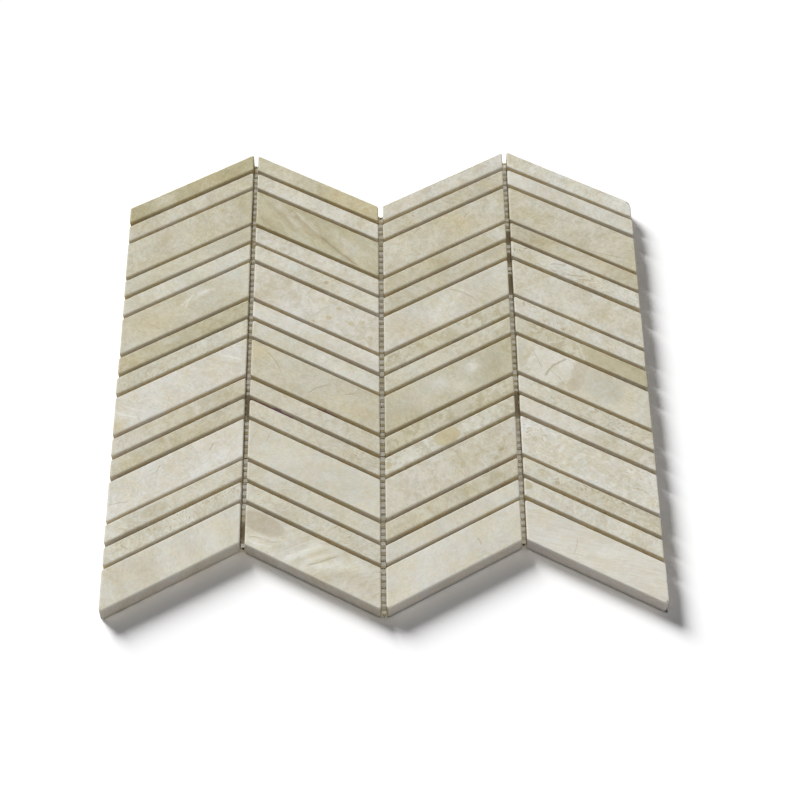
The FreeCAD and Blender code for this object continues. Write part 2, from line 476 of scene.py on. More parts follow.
# Soft clouds on single stones: along, across, half length and half width in millimetres, colour, strength
STONE_CLOUDS = {
    "narrow_c1_r1_upper": ((0.28, 0.5, 5, 6, "cream", 0.6), (0.60, 0.5, 9, 6, "rust", 0.4)),
    "narrow_c1_r1_lower": ((0.60, 0.5, 5, 6, "white", 0.25), (0.88, 0.5, 9, 7, "cream", 0.6)),
    "wide_c1_r1": ((0.35, 0.5, 5, 12, "rose", 0.5), (0.75, 0.5, 6, 12, "rose", 0.4)),
    "wide_c1_r2": ((0.25, 0.5, 18, 14, "rust", 0.45), (0.90, 0.6, 12, 14, "grey", 0.5)),
    "narrow_c1_r3_upper": ((0.85, 0.5, 12, 6, "olive", 0.5), (0.10, 0.5, 9, 6, "rust", 0.5)),
    "wide_c1_r3": ((0.02, 0.2, 6, 5, "rust", 0.7),),
    "narrow_c1_r4_upper": ((0.88, 0.5, 14, 6, "tan", 0.6),),
    "narrow_c1_r4_lower": ((0.50, 0.5, 14, 6, "tan", 0.5), (0.12, 0.5, 10, 7, "cream", 0.7)),
    "narrow_c1_r5_lower": ((0.32, 0.5, 9, 7, "white", 0.45),),
    "wide_c1_r5": (
        (0.30, 0.5, 5, 12, "rose", 0.75), (0.62, 0.5, 4, 12, "rose", 0.6), (0.12, 0.5, 3, 12, "rose", 0.5),
        (0.86, 0.6, 4, 9, "cream", 0.6)),
    "narrow_c2_r1_upper": (
        (0.15, 0.5, 20, 9, "cream", 0.9), (0.66, 0.5, 14, 9, "rust", 0.8), (0.9, 0.5, 14, 9, "rust", 0.9)),
    "narrow_c2_r1_lower": ((0.5, 0.5, 40, 9, "cream", 0.35),),
    "wide_c2_r1": (
        (0.85, 0.45, 14, 12, "cream", 0.55), (0.43, 0.5, 7, 4, "brown", 0.75),
        (0.1, 0.5, 12, 12, "tan", 0.3), (0.33, 0.65, 9, 6, "olive", 0.75)),
    "narrow_c2_r3_upper": ((0.50, 0.5, 10, 7, "white", 0.6),),
    "wide_c2_r3": ((0.06, 0.75, 9, 6, "rust", 0.6), (0.8, 0.3, 16, 7, "rust", 0.4)),
    "wide_c2_r5": ((0.84, 0.34, 12, 6, "rose", 0.7), (0.10, 0.12, 9, 3, "white", 0.6)),
    "narrow_c3_r1_upper": ((0.12, 0.5, 10, 7, "rose", 0.85),),
    "wide_c3_r1": (
        (0.60, 0.5, 14, 12, "rust", 0.6), (0.95, 0.5, 5, 12, "grey", 0.6), (0.15, 0.6, 8, 9, "cream", 0.5)),
    "narrow_c3_r2_upper": ((0.97, 0.5, 3, 6, "white", 0.5), (0.50, 0.5, 16, 6, "tan", 0.4)),
    "wide_c3_r2": (
        (0.10, 0.5, 10, 12, "rose", 0.6), (0.48, 0.5, 8, 9, "white", 0.6), (0.32, 0.3, 8, 5, "rose", 0.4)),
    "narrow_c3_r3_upper": ((0.32, 0.5, 9, 7, "tan", 0.6),),
    "wide_c3_r3": (
        (0.50, 0.5, 40, 14, "grey", 0.35), (0.88, 0.65, 15, 9, "olive", 0.65),
        (0.84, 0.3, 15, 7, "olive", 0.65), (0.45, 0.62, 6, 5, "white", 0.55),
        (0.69, 0.66, 3.6, 3.2, "white", 0.8), (0.58, 0.3, 5, 3.5, "white", 0.5),
        (0.28, 0.45, 7, 4, "rose", 0.5)),
    "narrow_c3_r4_upper": ((0.86, 0.5, 9, 7, "cream", 0.5), (0.14, 0.5, 9, 7, "tan", 0.4)),
    "wide_c3_r4": (
        (0.58, 0.55, 15, 10, "tan", 0.4), (0.74, 0.62, 5, 5, "grey", 0.4), (0.15, 0.4, 10, 10, "rose", 0.3)),
    "narrow_c3_r5_upper": (
        (0.64, 0.5, 6, 4, "tan", 0.6), (0.84, 0.5, 4, 3, "tan", 0.5), (0.15, 0.5, 9, 6, "rose", 0.4)),
    "wide_c3_r5": ((0.3, 0.5, 18, 14, "rose", 0.15),),
    "wide_c4_r1": (
        (0.75, 0.5, 12, 9, "rose", 0.35), (0.30, 0.4, 8, 8, "tan", 0.25), (0.92, 0.5, 11, 12, "tan", 0.5),
        (0.12, 0.35, 9, 7, "cream", 0.4)),
    "narrow_c4_r2_upper": (
        (0.20, 0.5, 11, 6, "brown", 0.55), (0.64, 0.5, 8, 6, "rose", 0.6), (0.42, 0.5, 5, 4, "tan", 0.4)),
    "narrow_c4_r2_lower": ((0.13, 0.5, 10, 7, "tan", 0.6),),
    "wide_c4_r2": ((0.22, 0.7, 6, 4, "tan", 0.4), (0.70, 0.4, 9, 6, "rust", 0.3)),
    "wide_c4_r3": ((0.85, 0.5, 11, 11, "cream", 0.5),),
    "wide_c4_r4": ((0.35, 0.5, 14, 9, "white", 0.4), (0.85, 0.5, 12, 9, "cream", 0.4)),
    "narrow_c4_r4_lower": ((0.64, 0.5, 7, 5, "tan", 0.6), (0.14, 0.5, 10, 7, "rose", 0.6)),
    "wide_c4_r5": ((0.5, 0.5, 30, 14, "white", 0.3),),
}
# Soft streaks on single stones: from and to, along and across, half width in millimetres, colour, strength
STONE_STREAKS = {
    "wide_c2_r1": (
        (0.24, 0.90, 0.46, 0.50, 1.7, "umber", 0.55), (0.46, 0.52, 0.60, 0.32, 2.0, "umber", 0.5),
        (0.60, 0.34, 0.84, 0.02, 1.3, "umber", 0.5), (0.31, 0.88, 0.54, 0.50, 1.4, "cream", 0.7),
        (0.66, 0.38, 0.90, 0.06, 1.6, "cream", 0.7), (0.02, 0.30, 0.22, 0.02, 1.8, "umber", 0.5),
        (0.05, 0.85, 0.34, 0.28, 1.5, "umber", 0.4), (0.14, 0.95, 0.38, 0.40, 1.4, "rose", 0.7),
        (0.60, 0.80, 0.85, 0.35, 2.4, "grey", 0.6)),
    "wide_c1_r2": ((0.47, 0.58, 0.70, 0.72, 1.6, "white", 0.5),),
    "wide_c1_r3": (
        (0.02, 0.55, 0.20, 0.10, 1.6, "white", 0.6), (0.76, 0.86, 0.97, 0.45, 1.5, "white", 0.5),
        (0.60, 0.70, 0.84, 0.20, 1.6, "rose", 0.4), (0.30, 0.80, 0.46, 0.30, 1.6, "rose", 0.3)),
    "wide_c3_r2": (
        (0.36, 0.12, 0.54, 0.88, 1.6, "white", 0.5), (0.48, 0.16, 0.64, 0.80, 1.0, "white", 0.6),
        (0.10, 0.10, 0.22, 0.90, 1.0, "rose", 0.6), (0.22, 0.05, 0.34, 0.80, 0.9, "cream", 0.6)),
    "wide_c2_r5": (
        (0.27, 0.02, 0.58, 0.93, 2.2, "white", 0.9), (0.40, 0.04, 0.72, 0.96, 1.6, "white", 0.8),
        (0.34, 0.04, 0.65, 0.94, 1.3, "tan", 0.4), (0.42, 0.22, 0.97, 0.95, 3.2, "white", 0.95),
        (0.44, 0.17, 0.70, 0.84, 1.3, "olive", 0.5), (0.20, 0.30, 0.40, 0.90, 1.5, "cream", 0.6)),
    "wide_c2_r2": ((0.44, 0.10, 0.63, 0.82, 1.2, "grey", 0.7), (0.50, 0.05, 0.70, 0.75, 1.2, "cream", 0.5)),
    "wide_c4_r3": ((0.40, 0.98, 0.40, 0.35, 1.0, "rose", 0.4),),
}
# Sharp spots on single stones, given as the clouds are
STONE_SPOTS = {
    "narrow_c1_r1_upper": ((0.30, 0.55, 5, 3, "cream", 0.5),),
    "narrow_c1_r3_upper": ((0.42, 0.55, 6, 2.5, "grey", 0.45),),
    "narrow_c1_r4_upper": ((0.64, 0.5, 2, 2, "white", 0.8),),
    "narrow_c1_r5_upper": ((0.36, 0.5, 9, 4, "tan", 0.45), (0.08, 0.5, 8, 6, "white", 0.6)),
    "narrow_c2_r1_upper": ((0.66, 0.55, 2, 1.3, "amber", 0.6), (0.90, 0.45, 2, 1.4, "amber", 0.7)),
    "wide_c2_r1": ((0.30, 0.76, 2.2, 1.6, "rose", 0.7),),
    "narrow_c2_r2_lower": ((0.58, 0.5, 1.6, 1.6, "amber", 0.8),),
    "wide_c2_r2": (
        (0.60, 0.36, 2.2, 1.5, "rust", 0.7), (0.48, 0.08, 1.5, 1.2, "amber", 0.7),
        (0.68, 0.74, 2.4, 1.4, "rust", 0.6), (0.78, 0.46, 2.6, 1.6, "rust", 0.7),
        (0.86, 0.62, 2.0, 1.6, "rust", 0.6), (0.93, 0.30, 2.2, 1.3, "tan", 0.5)),
    "narrow_c2_r3_lower": ((0.55, 0.5, 2.4, 3.4, "white", 0.95),),
    "wide_c2_r5": ((0.12, 0.70, 16, 6.4, "mauve", 0.9),),
    "wide_c3_r3": ((0.69, 0.66, 2.6, 2.4, "white", 0.7), (0.60, 0.2, 2.4, 1.8, "white", 0.4)),
    "narrow_c3_r4_lower": (
        (0.475, 0.5, 8.4, 6.5, "rust", 0.9), (0.18, 0.5, 9, 4, "white", 0.6),
        (0.67, 0.5, 7, 4, "white", 0.6), (0.02, 0.5, 3, 2.5, "rust", 0.8)),
    "wide_c3_r4": (
        (0.84, 0.15, 1.8, 1.6, "olive", 0.8), (0.88, 0.3, 2.4, 1.4, "olive", 0.7),
        (0.58, 0.36, 1.6, 1.4, "olive", 0.6)),
    "narrow_c4_r3_lower": ((0.80, 0.5, 26, 20, "tan", 0.85),),
    "wide_c4_r3": (
        (0.02, 0.6, 3, 9, "grey", 0.7), (0.265, 0.55, 16, 14, "white", 0.95),
        (0.48, 0.78, 5, 9, "rose", 0.85), (0.45, 0.42, 4.5, 6, "rose", 0.8),
        (0.67, 0.5, 11, 9, "grey", 0.8)),
    "wide_c4_r4": ((0.10, 0.52, 1.8, 2.0, "tan", 0.5),),
    "narrow_c4_r5_upper": ((0.25, 0.35, 1.6, 1.4, "brown", 0.8), (0.16, 0.6, 5, 2, "tan", 0.5)),
    "narrow_c4_r5_lower": ((0.02, 0.6, 4, 3, "tan", 0.8),),
}
# Fine dark cracks and pale threads on single stones, at most so many of each to a stone: from and to, along
# and across, bow and half width in millimetres
MOST_LINES = 3
STONE_CRACKS = {
    "wide_c1_r2": ((0.19, 0.55, 0.32, 0.15, 0.6, 0.2),),
    "wide_c1_r4": (
        (0.745, 0.55, 0.78, 0.72, 0.2, 0.5), (0.35, 0.66, 0.39, 0.82, 0.2, 0.3),
        (0.0, 0.4, 0.17, 0.22, 0.5, 0.25)),
    "narrow_c1_r5_lower": ((0.12, 0.75, 0.19, 0.25, -0.8, 0.45), (0.88, 0.6, 0.99, 0.9, 0.3, 0.3)),
    "wide_c2_r1": ((0.51, 0.45, 0.83, 0.03, -0.3, 0.5),),
    "wide_c2_r2": ((0.45, 0.15, 0.62, 0.80, -0.6, 0.25),),
    "wide_c2_r3": (
        (0.11, 0.85, 0.24, 0.40, 1.2, 0.3), (0.44, 0.18, 0.62, 0.70, 1.0, 0.42),
        (0.72, 0.60, 0.82, 0.80, -0.6, 0.3)),
    "wide_c2_r4": ((0.01, 0.30, 0.08, 0.85, 0.8, 0.22), (0.14, 0.62, 0.18, 0.98, 0.4, 0.2)),
    "wide_c2_r5": (
        (0.44, 0.17, 0.70, 0.84, -0.9, 0.4), (0.02, 0.20, 0.15, 0.32, 0.9, 0.2),
        (0.14, 0.30, 0.28, 0.52, -0.9, 0.2)),
    "wide_c3_r1": ((0.66, 0.62, 0.71, 0.74, 0.2, 0.25),),
    "wide_c3_r2": ((0.50, 0.97, 0.76, 0.12, 2.2, 0.38),),
    "wide_c3_r5": ((0.67, 0.60, 0.71, 0.36, 0.2, 0.45),),
    "wide_c4_r1": ((0.55, 0.02, 0.92, 0.28, -0.8, 0.25),),
    "wide_c4_r3": (
        (0.20, 0.12, 0.40, 0.97, 1.8, 0.7), (0.10, 0.85, 0.19, 0.3, 0.8, 0.2),
        (0.24, 0.40, 0.36, 0.16, 0.8, 0.2)),
    "wide_c4_r5": ((0.37, 0.62, 0.33, 0.12, 0.6, 0.2),),
    "narrow_c4_r2_lower": (
        (0.30, 0.45, 0.44, 0.85, 0.5, 0.45), (0.42, 0.25, 0.60, 0.70, -0.6, 0.5),
        (0.52, 0.2, 0.66, 0.55, 0.4, 0.4)),
}
STONE_THREADS = {
    "wide_c1_r1": ((0.52, 0.12, 0.57, 0.28, 0.2, 0.5),),
    "narrow_c1_r1_lower": ((0.54, 0.1, 0.60, 0.9, -0.6, 0.3),),
    "wide_c1_r2": (
        (0.45, 0.60, 0.58, 0.76, 0.5, 0.8), (0.57, 0.76, 0.74, 0.64, 0.4, 0.8),
        (0.49, 0.46, 0.56, 0.82, 0.3, 0.6)),
    "wide_c1_r3": (
        (0.0, 0.66, 0.19, 0.16, -0.8, 0.6), (0.04, 0.76, 0.25, 0.22, -0.6, 0.5),
        (0.77, 0.90, 0.97, 0.44, 0.5, 0.5)),
    "wide_c2_r1": ((0.285, 0.95, 0.50, 0.52, -0.4, 0.3),),
    "wide_c2_r5": (
        (0.02, 0.26, 0.25, 0.44, 0.9, 0.5), (0.24, 0.10, 0.52, 0.92, 0.6, 0.4),
        (0.02, 0.12, 0.22, 0.28, -0.7, 0.5)),
    "narrow_c4_r3_lower": ((0.475, 0.97, 0.52, 0.05, 0.3, 0.6),),
    "narrow_c3_r3_lower": ((0.80, 0.3, 0.96, 0.8, 0.8, 0.3),),
}
# Stains down in the joints, on the sawn side of a stone below its face, given as the clouds are
JOINT_STAINS = {
    "narrow_c2_r4_upper": ((0.14, 0.0, 18, 6, "plum", 0.9),),
    "wide_c2_r3": ((0.60, 0.0, 8, 6, "plum", 0.8),),
    "wide_c1_r3": ((0.96, 0.0, 9, 6, "plum", 0.6),),
}
# Upright corners that are knocked off, by corner from the lower left anticlockwise, radius in millimetres
KNOCKED_CORNERS = {
    "narrow_c4_r1_upper": {2: 7.0, 1: 1.2},
    "narrow_c2_r1_upper": {2: 2.2},
    "narrow_c3_r1_upper": {3: 1.6},
    "wide_c4_r5": {1: 2.0},
    "wide_c1_r5": {0: 1.2},
    "wide_c3_r5": {0: 1.4},
    "wide_c2_r5": {1: 1.2},
}


def unit(vector):
    return vector / np.linalg.norm(vector)


class Plan:
    """One stone's place in plan: its corners, from the lower left anticlockwise, and its levels."""

    def __init__(self, corners, base, top):
        self.corners = corners
        self.base = base
        self.top = top
        self.middle = corners.mean(axis=0)
        run = corners[1] - corners[0]
        side = corners[3] - corners[0]
        area = abs(run[0] * side[1] - run[1] * side[0])
        self.run = area / np.linalg.norm(side)
        self.width = area / np.linalg.norm(run)
        self.out_across = unit(np.array([-run[1], run[0]]))
        self.out_along = unit(np.array([side[1], -side[0]]))

    def trimmed(self, left, right):
        """Return the plan with a length cut off its left and right ends."""
        a, b, c, d = self.corners
        lower, upper = unit(b - a), unit(c - d)
        corners = [a + left * lower, b - right * lower, c - right * upper, d + left * upper]
        return Plan(np.array(corners), self.base, self.top)

    def point(self, along, across):
        """Return plan points at shares along and across the stone."""
        a, b, c, d = self.corners
        along = np.asarray(along)[..., None]
        across = np.asarray(across)[..., None]
        return a + along * (b - a) + across * (d - a) + along * across * (c - b - d + a)

    def inset(self, along, across, depth):
        """Return plan points moved inwards by a depth from all four sides."""
        ends = depth / self.run
        sides = depth / self.width
        return self.point(ends + along * (1 - 2 * ends), sides + across * (1 - 2 * sides))


def hull(points):
    """Return plan points in order round their middle."""
    middle = points.mean(axis=0)
    turn = np.arctan2(points[:, 1] - middle[1], points[:, 0] - middle[0])
    return points[np.argsort(turn)]


def crossing(first, second):
    """Return where two lines cross, each given by two points."""
    (p, q), (r, s) = first, second
    d, e = q - p, s - r
    share = ((r - p)[0] * e[1] - (r - p)[1] * e[0]) / (d[0] * e[1] - d[1] * e[0])
    return p + share * d


# Points within this height of a node's lowest count as its foot
FOOT_SLACK = 0.01 * MM
# A stone's foot has eight corners, because its upright corners are dulled
FOOT_CORNERS = 8


def foot_points(node):
    """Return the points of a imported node's foot in plan, each one once."""
    low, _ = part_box(node)
    points = np.array([v.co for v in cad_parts[node].data.vertices])
    return np.unique(np.round(points[points[:, 2] < low.z + FOOT_SLACK, :2], 7), axis=0)


def plans(node):
    """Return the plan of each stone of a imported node, the upper one first."""
    low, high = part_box(node)
    foot = foot_points(node)
    rise = np.polyfit(foot[:, 0], foot[:, 1], 1)[0]
    level = foot[:, 1] - rise * foot[:, 0]
    order = np.argsort(level)
    half = len(order) // 2
    groups = [order[half:], order[:half]] if len(order) > FOOT_CORNERS else [order]
    found = []
    for group in groups:
        ring = hull(foot[group])
        sides = [(ring[i - 1], ring[i]) for i in range(len(ring))]
        longest = sorted(range(len(sides)), key=lambda i: -np.linalg.norm(sides[i][1] - sides[i][0]))[:4]
        kept = [sides[i] for i in sorted(longest)]
        corners = hull(np.array([crossing(kept[i - 1], kept[i]) for i in range(4)]))
        left = corners[np.argsort(corners[:, 0])[:2]]
        right = corners[np.argsort(corners[:, 0])[2:]]
        left = left[np.argsort(left[:, 1])]
        right = right[np.argsort(right[:, 1])]
        found.append(Plan(np.array([left[0], right[0], right[1], left[1]]), low.z, high.z))
    return found


# How far in from a stone's edge the first rows of its mesh lie
EDGE_STEPS = np.array([0.0, 0.3, 0.65, 1.1, 1.8, 2.8]) * MM


def stations(length, facet):
    """Return shares of a length from 0 to 1, close together near both ends."""
    inner = length - 2 * EDGE_STEPS[-1]
    count = max(2, round(inner / facet))
    middle = EDGE_STEPS[-1] + inner * np.arange(1, count) / count
    return np.concatenate([EDGE_STEPS, middle, length - EDGE_STEPS[::-1]]) / length


def perimeter(columns, rows):
    """Return grid indices round a grid's rim, anticlockwise from its lower left."""
    lower = [(i, 0) for i in range(columns)]
    right = [(columns - 1, j) for j in range(1, rows)]
    upper = [(i, rows - 1) for i in range(columns - 2, -1, -1)]
    left = [(0, j) for j in range(rows - 2, 0, -1)]
    return np.array(lower + right + upper + left)


def ripple(points, scale, seed):
    """Return smooth noise from -1 to 1 at each point, scale in features a metre."""
    shift = Vector((seed * 7.13, seed * 3.71, seed * 1.97))
    return np.array([noise.noise(Vector(p) * scale + shift) for p in points])


# The smallest radius that a corner keeps, however far inside the outline
LEAST_RADIUS = 0.02 * MM


def round_corners(points, plan, radii, depth):
    """Pull the points of one rim, at a depth inside the outline, back onto round corners."""
    for i, radius in enumerate(radii):
        corner = plan.corners[i]
        before = unit(plan.corners[i - 1] - corner)
        after = unit(plan.corners[(i + 1) % 4] - corner)
        half = math.acos(before @ after) / 2
        centre = corner + unit(before + after) * radius / math.sin(half)
        offset = points - centre
        reach = np.linalg.norm(offset, axis=1)
        limit = np.maximum(radius - depth, LEAST_RADIUS)
        outside = (offset @ before < 0) & (offset @ after < 0) & (reach > limit)
        points[outside] = centre + (offset * (limit / reach)[:, None])[outside]
    return points


def bite(points, centre, radius):
    """Push points out of a ball, as a chip breaks stone away, and return how far each one moved."""
    offset = points - centre
    reach = np.linalg.norm(offset, axis=1)
    inside = reach < radius
    points[inside] = centre + offset[inside] * (radius / np.maximum(reach[inside], 1e-9))[:, None]
    return np.where(inside, radius - reach, 0.0)


# The rounded arris in rings, as shares of its size inwards and down, and how worn each ring is
ARRIS_RINGS = ((1.0, 0.0, 0.4), (0.5, 0.13, 0.9), (0.13, 0.5, 1.0), (0.0, 1.0, 0.5))
# Rows of points down the sides, as shares of their height, and how far the back is eased in
SIDE_ROWS = (0.3, 0.62, 0.94)
FOOT = 0.15 * MM
# How much the arris varies and how far the sawn sides sway, each with its features to a metre
EASE_SWING, EASE_FINENESS = 0.35, 420
SIDE_SWAY, SIDE_FINENESS = 0.05 * MM, 160
# Where the ball that breaks a chip lies, in radii outwards and up, and a depth that looks broken
CHIP_OUT, CHIP_UP = 0.62, 0.30
CHIP_DEEP = 0.2 * MM


def stone(name, plan, settings, hand, radii, chips):
    """Return one stone's mesh, with polished face, eased arris and sawn sides, its points and their wear."""
    along = stations(plan.run, settings.facet)
    across = stations(plan.width, settings.facet)
    columns, rows = len(along), len(across)
    grid_along, grid_across = (g.ravel() for g in np.meshgrid(along, across, indexing="ij"))
    rim = perimeter(columns, rows)
    rim_index = rim[:, 0] * rows + rim[:, 1]
    rim_along, rim_across = along[rim[:, 0]], across[rim[:, 1]]
    rim_plan = plan.point(rim_along, rim_across)
    seed = hand.randrange(1000)
    lean = np.array([hand.uniform(-1, 1), hand.uniform(-1, 1)]) * settings.lippage / 2
    drop = settings.lippage / 2 * hand.random()

    def level(flat):
        """Return the height of the polished face, which lies a little out of level."""
        return plan.top - drop - np.abs((flat - plan.middle) / plan.run @ lean)

    def rim_points(depth):
        """Return the rim in plan at a depth inside the outline."""
        return round_corners(plan.inset(rim_along, rim_across, depth), plan, radii, depth)

    swing = ripple(np.c_[rim_plan, np.zeros(len(rim))], EASE_FINENESS, seed)
    ease = settings.arris * (1 + EASE_SWING * swing)
    layers, wears = [], []
    for inward, down, worn in ARRIS_RINGS:
        flat = rim_points(ease * inward)
        layers.append(np.c_[flat, level(flat) - ease * down])
        wears.append(np.full(len(rim), worn))
    face = plan.inset(grid_along, grid_across, np.full(len(grid_along), settings.arris))
    face = np.c_[face, level(face)]
    face[rim_index] = layers[0]
    layers[0] = face
    wears[0] = np.zeros(len(face))
    wears[0][rim_index] = ARRIS_RINGS[0][2]
    shoulder = layers[-1][:, 2]
    for share in SIDE_ROWS:
        sway = ripple(np.c_[rim_plan, np.full(len(rim), share / 100)], SIDE_FINENESS, seed + 3)
        flat = rim_points(SIDE_SWAY * (1 + sway))
        layers.append(np.c_[flat, shoulder + share * (plan.base - shoulder)])
        wears.append(np.zeros(len(rim)))
    under = plan.inset(grid_along, grid_across, np.full(len(grid_along), FOOT))
    under[rim_index] = rim_points(np.full(len(rim), FOOT))
    layers.append(np.c_[under, np.full(len(under), plan.base)])
    wears.append(np.zeros(len(under)))

    points, wear = np.concatenate(layers), np.concatenate(wears)
    for share_along, share_across, outward, radius in chips:
        edge = plan.point(share_along, share_across)
        centre = np.array([*(edge + outward * CHIP_OUT * radius), plan.top + CHIP_UP * radius])
        wear = np.maximum(wear, np.clip(bite(points, centre, radius) / CHIP_DEEP, 0, 1))

    starts = np.cumsum([0] + [len(layer) for layer in layers])
    last = len(layers) - 1
    cell = np.arange((columns - 1) * rows).reshape(columns - 1, rows)[:, :-1].ravel()
    grid = np.c_[cell, cell + rows, cell + rows + 1, cell + 1]
    rings = [starts[k] + np.arange(len(rim)) for k in range(1, last)]
    loops = [rim_index, *rings, starts[last] + rim_index]
    quads = [grid, grid[:, ::-1] + starts[last]]
    for upper, lower in zip(loops, loops[1:]):
        quads.append(np.c_[upper, lower, np.roll(lower, -1), np.roll(upper, -1)])
    mesh = bpy.data.meshes.new(name)
    mesh.from_pydata(points.tolist(), [], np.concatenate(quads).tolist())
    mesh.shade_smooth()
    return mesh, points, wear


def add_attribute(mesh, name, kind, values):
    """Store one value for each vertex of a mesh."""
    field = {"FLOAT": "value", "FLOAT_VECTOR": "vector", "FLOAT_COLOR": "color"}[kind]
    data = mesh.attributes.new(name, kind, "POINT").data
    data.foreach_set(field, np.asarray(values, np.float32).ravel())


def word_for(table, name, default):
    """Return the word that a table lists a stone under."""
    return next((word for word, names in table.items() if name in names), default)


# A step out of a stone's side that reaches past a joint
JOINT_STEP = 4 * MM


def facing_joint(plan, points):
    """Return 1 for points on sides that face another stone, and 0 for those on the sheet's outer sides."""
    outline = net_outline("backing_net")
    middles = plan.point(np.array([0.5, 1.0, 0.5, 0.0]), np.array([0.0, 0.5, 1.0, 0.5]))
    outwards = np.array([-plan.out_across, plan.out_along, plan.out_across, -plan.out_along])
    faced = []
    for x, y in middles + outwards * JOINT_STEP:
        faced.append(any(low < y < high for low, high in spans(outline, 0, x)))
    depths = np.stack([(points[:, :2] - middle) @ out for middle, out in zip(middles, outwards)])
    return np.array(faced, float)[np.argmax(depths, axis=0)]


def ellipse_reach(plan, points, along, across, length, width):
    """Return how far points lie from the middle of an ellipse that lies along the stone, 1 at its rim."""
    offset = points[:, :2] - plan.point(along, across)
    run = unit(plan.corners[1] - plan.corners[0])
    return np.hypot(offset @ run / (length * MM), offset @ plan.out_across / (width * MM))


# How much of half a streak keeps its full strength, and how fast the rest fades
STREAK_BODY = 0.6
STREAK_FADE = 12


def clouds(name, plan, points, tone):
    """Return the stone's tone at each point, with its soft clouds and streaks."""
    tones = np.tile(tone, (len(points), 1))
    for *place, word, strength in STONE_CLOUDS.get(name, ()):
        share = strength * np.exp(-ellipse_reach(plan, points, *place) ** 2)[:, None]
        tones = tones * (1 - share) + np.array(COLOURS[word]) * share
    for *place, word, strength in STONE_STREAKS.get(name, ()):
        off, end = fine_lines(plan, points, ((*place[:4], 0.0, place[4]),))
        past_body = np.maximum(np.abs(end[:, :1]) - STREAK_BODY, 0)
        share = strength * np.exp(-off[:, :1] ** 2 - past_body ** 2 * STREAK_FADE)
        tones = tones * (1 - share) + np.array(COLOURS[word]) * share
    return tones


# How deep the heart of a spot is, how fast that falls to its rim, the depth of points in no spot, and how
# far down the sawn sides begin
SPOT_HEART, SPOT_FALL = 1.4, 1.2
NO_SPOT = -2.0
SIDE_DEPTH = 0.8 * MM


def spots(name, plan, points):
    """Return how deep each point lies in a spot of another colour, and that colour with its strength."""
    patch = np.full(len(points), NO_SPOT)
    colour = np.zeros((len(points), 4))
    side = points[:, 2] < plan.top - SIDE_DEPTH
    for table, where in ((STONE_SPOTS, ~side), (JOINT_STAINS, side)):
        for *place, word, strength in table.get(name, ()):
            inside = SPOT_HEART - SPOT_FALL * ellipse_reach(plan, points, *place)
            depth = np.where(where, inside, NO_SPOT)
            deeper = depth > patch
            patch[deeper] = depth[deeper]
            colour[deeper] = (*COLOURS[word], strength)
    return patch, colour


# Half widths and half lengths off a line that isn't there
NO_LINE = 9.0


def fine_lines(plan, points, lines):
    """Return how many half widths each point lies off bowed lines, and where along them, 1 at their ends."""
    off = np.full((len(points), MOST_LINES), NO_LINE)
    end = np.full((len(points), MOST_LINES), NO_LINE)
    for i, (along, across, to_along, to_across, bow, width) in enumerate(lines):
        start, stop = plan.point(along, across), plan.point(to_along, to_across)
        run = unit(stop - start)
        offset = points[:, :2] - (start + stop) / 2
        end[:, i] = offset @ run / (np.linalg.norm(stop - start) / 2)
        rise = offset @ np.array([-run[1], run[0]]) / MM
        off[:, i] = (rise - bow * (1 - end[:, i] ** 2)) / width
    return off, end


# How stones differ: shares of the corner radius, places and radii of chips, share of chips on the long
# sides, what is off the sheet's outer ends, reach of the slab, and swings of tone and hue, with lengths in
# millimetres
CORNER_RANGE = (0.7, 1.3)
CHIP_PLACES = (0.15, 0.85)
CHIP_RADII = (0.5, 1.2)
LONG_SIDE_CHIPS = 0.8
END_TRIM = 0.5
SLAB_REACH = 400
TONE_SWING = 0.03
HUE_SWING = 0.006


def edge_chips(plan, count, hand):
    """Return chips at random along a stone's edges: along, across, the way out of the stone, and radius."""
    chips = []
    for _ in range(count):
        place, side, radius = hand.uniform(*CHIP_PLACES), hand.choice((0, 1)), hand.uniform(*CHIP_RADII) * MM
        if hand.random() < LONG_SIDE_CHIPS:
            chips.append((place, side, plan.out_across * (2 * side - 1), radius))
        else:
            chips.append((side, place, plan.out_along * (2 * side - 1), radius))
    return chips


